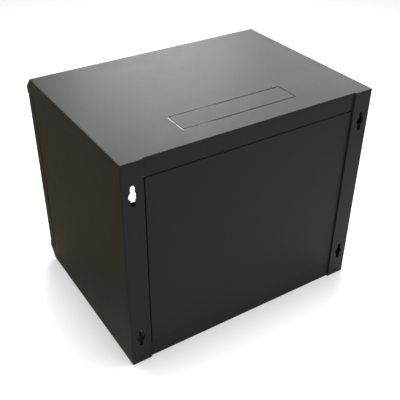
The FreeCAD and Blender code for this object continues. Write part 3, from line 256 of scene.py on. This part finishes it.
def clear_glass():
    """Toughened glass, very slightly green, with faint smears.

    Its index is lower than real glass's, so that the pale floor that it mirrors doesn't hide
    what is inside."""
    finish = Finish("clear_glass", IOR=1.25, Transmission_Weight=1.0)
    smear = finish.noise(0.04, detail=5, roughness=0.7, stretch=(1, 1, 0.4))
    finish.put("Base Color", finish.ramp(smear, (0.3, (0.90, 0.95, 0.93)),
                                         (0.7, (0.93, 0.965, 0.95))))
    finish.put("Roughness", finish.spread(smear, 0.0, 0.006, start=0.6, stop=0.8))
    return finish.material


def seal_rubber():
    """Closed cell foam: dull, with open pores on its skin."""
    finish = Finish("seal_rubber", Roughness=0.85, Specular_IOR_Level=0.3)
    pores = finish.cells(0.0009)
    finish.put("Base Color", finish.ramp(pores, (0.2, (0.010, 0.010, 0.010)),
                                         (0.8, (0.026, 0.026, 0.026))))
    finish.put("Normal", finish.bump(pores, 0.15 * MM, 0.6))
    return finish.material


def nylon():
    """Natural nylon, a little yellowed and cloudy."""
    finish = Finish("nylon", Subsurface_Weight=0.15, Subsurface_Scale=0.002)
    cloud = finish.noise(0.003, detail=3)
    finish.put("Base Color", finish.ramp(cloud, (0.3, (0.66, 0.63, 0.54)),
                                         (0.7, (0.78, 0.76, 0.69))))
    finish.put("Roughness", finish.spread(cloud, 0.38, 0.5))
    return finish.material


FINISHES = {make.__name__: make() for make in (
    black_powder_coat, zinc_plate, zinc_fastener, spring_steel, lock_chrome, clear_glass,
    seal_rubber, nylon)}


def paint(piece, slot):
    """A piece takes the finish of a slot, and the slot itself."""
    piece.data.materials.clear()
    piece.data.materials.append(FINISHES[slot])


def dress_frame():
    """Every CAD node takes the finish of its own slot."""
    for node, slot in SLOT_OF.items():
        paint(NODES[node], slot)


# ---------------------------------------------------------------- pieces made here

THREAD_PITCH = 0.34          # of the thread's radius
THREAD_DEPTH = 0.55          # of its pitch
THREAD_STEPS = 4             # rows to a pitch
STUD_COLUMNS = 20            # corners round a stud
TURNED_COLUMNS = 36          # corners round a nut or a screw: a multiple of six
HEX_SLOPE = math.tan(math.radians(30))
NUT_FACE = 0.98              # radius of a nut's flat face, of its apothem
NUT_SINK = 0.08              # depth of its countersinks, of its height
# A screw's button head and a stud's foot, from (share of its height, share of its radius) corners.
BUTTON = (0, 0.93), (0.08, 1), (0.45, 1), (0.72, 0.93), (0.9, 0.78), (1, 0.58)
FOOT = (0, 0.93), (0.08, 1), (0.8, 1), (1, 0.96)
SOCKET = 0.42                # apothem of the button's socket, of its radius
SOCKET_DEPTH = 0.55          # of the button's height
DRILL_DEPTH = 0.6            # of the drilled point under the socket, in the same share
DRILL_TIP = 0.2              # its radius there, of the button's
COILS = 7.5                  # of the spring
CLOSED = 0.9                 # of a turn of it, at each end
COIL_STEPS = 36              # rings of corners to a turn
WIRE_SIDES = 10              # corners to a ring
CROWN_STEPS = 12             # across the door's seal
CROWN_SHAPE = 0.6            # power that squares its half-round section
WELD_COLUMNS = 16            # corners round a weld bead
WELD_STEPS = 4               # rows to a ripple


def add_piece(name, form, node, crease=35, replace=True):
    """An object from a bmesh form, with a CAD node's body and slot, which as a rule replaces it."""
    mesh = bpy.data.meshes.new(name)
    bmesh.ops.recalc_face_normals(form, faces=form.faces)
    form.to_mesh(mesh)
    form.free()
    mesh.polygons.foreach_set("use_smooth", [True] * len(mesh.polygons))
    mesh.set_sharp_from_angle(angle=math.radians(crease))
    piece = bpy.data.objects.new(name, mesh)
    bpy.context.scene.collection.objects.link(piece)
    paint(piece, SLOT_OF[node])
    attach(piece, BODY_OF[node])
    if replace:
        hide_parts(node)
    return piece


def loose_solids(node):
    """The corners of each separate solid of a CAD node, lowest first."""
    form = bmesh.new()
    form.from_mesh(NODES[node].data)
    bmesh.ops.remove_doubles(form, verts=form.verts, dist=0.01 * MM)
    left = set(form.verts)
    solids = []
    while left:
        ahead = [left.pop()]
        corners = []
        while ahead:
            corner = ahead.pop()
            corners.append(corner.co.copy())
            for edge in corner.link_edges:
                other = edge.other_vert(corner)
                if other in left:
                    left.remove(other)
                    ahead.append(other)
        solids.append(corners)
    form.free()
    return sorted(solids, key=lambda corners: [round(min(corner[k] for corner in corners), 4)
                                               for k in range(3)])


class Turned:
    """A CAD prism or screw's own axis, ends and radii, from its corners."""

    def __init__(self, corners):
        levels = [sorted({round(corner[k], 5) for corner in corners}) for k in range(3)]
        # the corners lie on few levels of the axis, and on many across it
        self.axis = min(range(3), key=lambda k: len(levels[k]))
        self.across = (self.axis + 1) % 3, (self.axis + 2) % 3
        self.middle = [(level[0] + level[-1]) / 2 for level in levels]
        self.spans = [level[-1] - level[0] for level in levels]
        self.levels = levels[self.axis]
        self.corners = corners
        self.low, self.high = self.levels[0], self.levels[-1]
        self.length = self.high - self.low

    def reaches(self, level):
        """How far the corners at a level are from the axis."""
        first, second = self.across
        return [math.hypot(corner[first] - self.middle[first], corner[second] - self.middle[second])
                for corner in self.corners if abs(corner[self.axis] - level) < NEAR]

    def matrix(self, upward=True):
        """A matrix whose Z runs along the axis from one end to the other."""
        first, second = self.across if upward else self.across[::-1]
        columns = [[0.0] * 3 for _ in range(3)]
        columns[0][first] = columns[1][second] = 1.0
        columns[2][self.axis] = 1.0 if upward else -1.0
        start = list(self.middle)
        start[self.axis] = self.low if upward else self.high
        turn = Matrix(columns).transposed().to_4x4()
        return Matrix.Translation(start) @ turn


def join_rings(form, rings, closed=False):
    """Faces from each ring of corners to the next, closed from the last to the first or by caps."""
    for low, high in zip(rings, rings[1:] + rings[:1] if closed else rings[1:]):
        for corners in zip(low, low[1:] + low[:1], high[1:] + high[:1], high):
            form.faces.new(corners)
    if not closed:
        form.faces.new(rings[0][::-1])
        form.faces.new(rings[-1])


def add_turned(form, matrix, rows, columns, ring=False):
    """A form round matrix's Z, from (height, radius) rows that may follow the angle."""
    def at(value, angle):
        return value(angle) if callable(value) else value

    def corner(height, radius, angle):
        out = at(radius, angle)
        return matrix @ Vector((out * math.cos(angle), out * math.sin(angle), at(height, angle)))

    angles = [TURN * column / columns for column in range(columns)]
    rings = [[form.verts.new(corner(height, radius, angle)) for angle in angles]
             for height, radius in rows]
    join_rings(form, rings, closed=ring)


def thread_rows(radius, start, stop):
    """Rows of a screw thread between two heights, chamfered at both ends."""
    pitch = THREAD_PITCH * radius
    depth = THREAD_DEPTH * pitch
    count = math.ceil((stop - start) / pitch * THREAD_STEPS)
    rows = []
    for row in range(count + 1):
        height = start + (stop - start) * row / count
        end = min(height - start, stop - height)

        def reach(angle, height=height, end=end):
            phase = (height / pitch - angle / TURN) % 1
            return min(radius - depth * abs(2 * phase - 1), radius - depth + end)

        rows.append((height, reach))
    return rows


def hexagon(apothem, corner=0.0):
    """The radius of a hexagon at an angle, with a corner at that angle."""
    sixth = TURN / 6
    return lambda angle: apothem / math.cos((angle - corner) % sixth - sixth / 2)


def add_nut(form, solid):
    """A hexagonal nut with chamfered corners and a countersunk bore."""
    first, second = solid.across
    corner = 0.0 if solid.spans[first] > solid.spans[second] else TURN / 4    # where one points
    reaches = solid.reaches(solid.low)
    apothem = max(reaches) * math.cos(TURN / 12)
    bore = min(reaches)
    top = solid.length
    sink = NUT_SINK * top
    flat = NUT_FACE * apothem
    outline = hexagon(apothem, corner)

    def drop(angle):
        return (outline(angle) - apothem) * HEX_SLOPE

    rows = [(drop, outline), (lambda angle: top - drop(angle), outline), (top, flat),
            (top, bore + sink), (top - sink, bore), (sink, bore), (0, bore + sink), (0, flat)]
    add_turned(form, solid.matrix(), rows, TURNED_COLUMNS, ring=True)


def add_stud(form, solid):
    """A threaded stud with chamfered ends."""
    radius = max(solid.reaches(solid.low))
    add_turned(form, solid.matrix(), thread_rows(radius, 0, solid.length), STUD_COLUMNS)


def add_screw(form, solid, socket=True):
    """A screw: a button head with a hexagon socket, or a flat foot, and a threaded shank."""
    ends = [max(solid.reaches(level)) for level in (solid.low, solid.high)]
    upward = ends[1] > ends[0]
    head, shank = max(ends), min(ends)
    first, second, third = solid.levels
    height = third - second if upward else second - first
    top = solid.length
    under = top - height
    outline = BUTTON if socket else FOOT
    rows = thread_rows(shank, 0, under)
    rows += [(under + height * share, head * reach) for share, reach in outline]
    if socket:
        hole = hexagon(head * SOCKET)
        rows += [(top, hole), (top - height * SOCKET_DEPTH, hole),
                 (top - height * DRILL_DEPTH, head * DRILL_TIP)]
    add_turned(form, solid.matrix(upward), rows, TURNED_COLUMNS)


def make_fasteners():
    """Threaded studs and screws and chamfered nuts, in place of the plain ones.

    The earth stud's node holds both: its foot and shank have three levels, its nut has two."""
    makers = {
        add_stud: ("cover_studs", "bracket_studs", "clamp_studs"),
        add_nut: ("cover_nuts", "bracket_nuts", "clamp_nuts", "rail_nuts_left", "rail_nuts_right",
                  "lock_nut"),
        add_screw: ("rail_bolts_left", "rail_bolts_right", "lock_cam_screw"),
    }
    for add, nodes in makers.items():
        for node in nodes:
            form = bmesh.new()
            for corners in loose_solids(node):
                add(form, Turned(corners))
            add_piece("fine_" + node, form, node)
    form = bmesh.new()
    for corners in loose_solids("earth_stud"):
        solid = Turned(corners)
        if len(solid.levels) == 2:
            add_nut(form, solid)
        else:
            add_screw(form, solid, socket=False)
    add_piece("fine_earth_stud", form, "earth_stud")


def make_spring():
    """The hinge pin's coil spring, of round wire with closed ends."""
    low, high = (Vector(corner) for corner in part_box("hinge_spring"))
    wire = 0.6 * MM           # its radius
    coil = (high.x - low.x) / 2 - wire
    middle = (low + high) / 2
    steps = int(COILS * COIL_STEPS)
    bottom, top = low.z + wire, high.z - wire
    closed_pitch = 2.1 * wire      # whose coils all but touch
    flat = CLOSED * closed_pitch
    up = Vector((0, 0, 1))
    form = bmesh.new()
    rings = []
    for step in range(steps + 1):
        turn = COILS * step / steps
        if turn < CLOSED:
            rise = flat * turn / CLOSED
        elif turn > COILS - CLOSED:
            rise = top - bottom - flat * (COILS - turn) / CLOSED
        else:
            rise = flat + (top - bottom - 2 * flat) * (turn - CLOSED) / (COILS - 2 * CLOSED)
        out = Vector((math.cos(TURN * turn), math.sin(TURN * turn), 0))
        centre = Vector((middle.x, middle.y, bottom + rise)) + out * coil
        sides = (TURN * count / WIRE_SIDES for count in range(WIRE_SIDES))
        rings.append([form.verts.new(centre + (out * math.cos(side) + up * math.sin(side)) * wire)
                      for side in sides])
    join_rings(form, rings)
    spring = add_piece("coil_spring", form, "hinge_spring", crease=60)
    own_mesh(spring)


def make_strip(name, node, section):
    """A mitred foam strip round the door, from (share of width, share of thickness) corners."""
    low, high = (Vector(corner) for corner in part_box(node))
    inside = min(abs(corner.co.x) for corner in NODES[node].data.vertices)
    width = high.x - inside
    form = bmesh.new()
    rings = []
    for inward, forward in section:
        step = width * inward
        y = high.y + (low.y - high.y) * forward
        rings.append([form.verts.new((x, y, z)) for x, z in (
            (low.x + step, low.z + step), (high.x - step, low.z + step),
            (high.x - step, high.z - step), (low.x + step, high.z - step))])
    join_rings(form, rings, closed=True)
    add_piece(name, form, node)


def make_strips():
    """The door's crowned foam seal, and the foam tape that the glass lies on."""
    angles = [math.pi * step / CROWN_STEPS for step in range(CROWN_STEPS + 1)]
    crown = [(0.5 - 0.5 * math.cos(angle), math.sin(angle) ** CROWN_SHAPE) for angle in angles]
    make_strip("foam_seal", "door_seal", crown)
    bulge = [(0, 0.5), (0.06, 0.12), (0.1, 0), (0.9, 0), (0.94, 0.12), (1, 0.5), (0.94, 0.88),
             (0.9, 1), (0.1, 1), (0.06, 0.88)]
    make_strip("foam_tape", "glass_tape", bulge)


def make_welds():
    """Beads that close the rear panel's corners, from its tongue and its lip to its folded side."""
    low, high = (Vector(corner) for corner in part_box("rear_panel"))
    corners = [vertex.co for vertex in NODES["rear_panel"].data.vertices]
    fold = [corner.z for corner in corners if corner.x > 0 and corner.y < low.y + NEAR]
    tongue = [corner for corner in corners if corner.z > high.z - NEAR]
    end = max(corner.x for corner in tongue)
    back, face = (pick(corner.y for corner in tongue) for pick in (min, max))
    proud = 0.3 * MM          # of the folded side
    width = high.x + proud - end
    stretch = Matrix.Diagonal((width / 2, (face - back) / 2, 1, 1))
    lap = 12 * MM             # of a bead, along the fold
    above, below = 4 * MM, 2.5 * MM
    cap = 0.6 * MM            # length of its rounded ends
    tip = 0.3                 # their radius at the tip, of the bead's
    ripple = 1.3 * MM         # from crest to crest
    ripple_depth = 0.08       # of the bead's radius
    form = bmesh.new()
    for start, stop in ((min(fold) - below, min(fold) + lap), (max(fold) - lap, max(fold) + above)):
        length = stop - start
        steps = round(length / ripple * WELD_STEPS)
        rows = []
        for step in range(steps + 1):
            height = length * step / steps
            near = min(height, length - height, cap) / cap
            wave = 1 - ripple_depth / 2 * (1 - math.cos(TURN * height / ripple))
            rows.append((height, wave * (tip + (1 - tip) * math.sqrt(near * (2 - near)))))
        place = Matrix.Translation((end + width / 2, (back + face) / 2, start))
        add_turned(form, place @ stretch, rows, WELD_COLUMNS)
    add_piece("panel_welds", form, "rear_panel", replace=False)


# ---------------------------------------------------------------- stage, light and camera

AIM = Vector((0, 0, 0.4))
FLOOR = 14                   # metres from its middle to its edges
FLOOR_GAP = 0.2 * MM         # under the cabinet
# the painted reflection card lies this far over the floor
REFLECTION_CARD_RISE = 0.1 * MM        # of the patch, over the floor


def soft_light(name, place, size, power, spread=180):
    """A soft box that faces the cabinet's middle, with its power in watts and spread in degrees."""
    lamp = bpy.data.lights.new(name, "AREA")
    lamp.spread = math.radians(spread)
    lamp.shape = "RECTANGLE"
    lamp.size, lamp.size_y = size
    lamp.energy = power
    holder = bpy.data.objects.new(name, lamp)
    bpy.context.scene.collection.objects.link(holder)
    holder.location = place
    holder.rotation_euler = (AIM - Vector(place)).to_track_quat("-Z", "Y").to_euler()


def stage_sheet(name, low, high, z, finish):
    """A flat piece of the stage between two corners."""
    mesh = bpy.data.meshes.new(name)
    mesh.from_pydata([(low[0], low[1], z), (high[0], low[1], z), (high[0], high[1], z),
                      (low[0], high[1], z)], [], [(0, 1, 2, 3)])
    mesh.materials.append(finish.material)
    sheet = bpy.data.objects.new(name, mesh)
    bpy.context.scene.collection.objects.link(sheet)
    return sheet


def pale_paper(name):
    """The floor's matt finish, and its colour, which varies a little."""
    finish = Finish(name, Roughness=0.9, Specular_IOR_Level=0.1)
    return finish, finish.ramp(finish.noise(0.6, detail=2), (0.3, (0.86, 0.86, 0.86)),
                               (0.7, (0.88, 0.88, 0.88)))


def make_stage():
    """A plain pale floor, and a deep warm brown card on it with soft edges which only mirrors see:
    a painted reflection, which the cabinet's side mirrors in place of the bright floor.
    """
    ground = CAD_BOX[0][2] - FLOOR_GAP
    finish, colour = pale_paper("floor")
    finish.put("Base Color", colour)
    stage_sheet("floor", (-FLOOR, -FLOOR), (FLOOR, FLOOR), ground, finish)
    finish, colour = pale_paper("reflection_card")
    mapping = finish.node("ShaderNodeMapping", vector_type="TEXTURE")
    mapping.inputs["Location"].default_value = (0.8, -0.6, 0)
    mapping.inputs["Scale"].default_value = (0.65, 1.7, 1)
    finish.link(finish.place, mapping.inputs["Vector"])
    middle = finish.node("ShaderNodeTexGradient", gradient_type="SPHERICAL")
    finish.link(mapping.outputs["Vector"], middle.inputs["Vector"])
    # painted reflection: the card fades from plain paper at its soft edges to a deep warm brown in
    # its middle, which the cabinet's side mirrors in place of the bright floor
    painted_reflection_mask = finish.spread(middle.outputs["Fac"], 0, 1, start=0, stop=0.3)
    finish.put("Base Color", finish.mix(painted_reflection_mask, colour, (0.17, 0.135, 0.055)))
    reflection_card = stage_sheet("reflection_card", (0.302, -2.4), (1.6, 0.7), ground + REFLECTION_CARD_RISE, finish)
    reflection_card.visible_camera = False
    reflection_card.visible_diffuse = False
    reflection_card.visible_shadow = False
    reflection_card.visible_transmission = False


def make_lights():
    """A pale surround, an overhead light, and three soft boxes that the cabinet's top mirrors."""
    world = bpy.data.worlds.new("studio")
    world.use_nodes = True
    background = world.node_tree.nodes["Background"]
    background.inputs["Color"].default_value = (1, 1, 1, 1)
    background.inputs["Strength"].default_value = 0.45
    bpy.context.scene.world = world
    soft_light("overhead", (0, 0, 3.4), (2.0, 2.0), 165)
    soft_light("key", (-1.24, -2.44, 1.72), (1.2, 1.0), 6.8, spread=60)
    soft_light("key_right", (-2.4, -1.7, 1.6), (1.2, 1.0), 3.9, spread=60)
    soft_light("key_high", (-1.75, -2.25, 2.25), (1.2, 0.8), 2.2, spread=60)


def make_camera():
    """The photograph's view: the rear, from the right and above."""
    eye = Vector((0.7052, 1.10599, 1.08056))
    right = Vector((-0.847618, 0.530607, 0.000486))
    down = Vector((0.302781, 0.484429, -0.820763))
    ahead = right.cross(down)
    camera_data = bpy.data.cameras.new("camera")
    camera_data.sensor_width = 36.0
    camera_data.lens = 58.68
    camera_data.shift_x = 0.0241
    camera_data.shift_y = 0.0200
    camera = bpy.data.objects.new("camera", camera_data)
    bpy.context.scene.collection.objects.link(camera)
    axes = Matrix((right, -down, -ahead)).transposed()
    camera.matrix_world = Matrix.Translation(eye) @ axes.to_4x4()
    bpy.context.scene.camera = camera


dress_frame()
make_fasteners()
make_spring()
make_strips()
make_welds()
make_stage()
make_lights()
make_camera()
bpy.context.scene.view_settings.view_transform = "Standard"
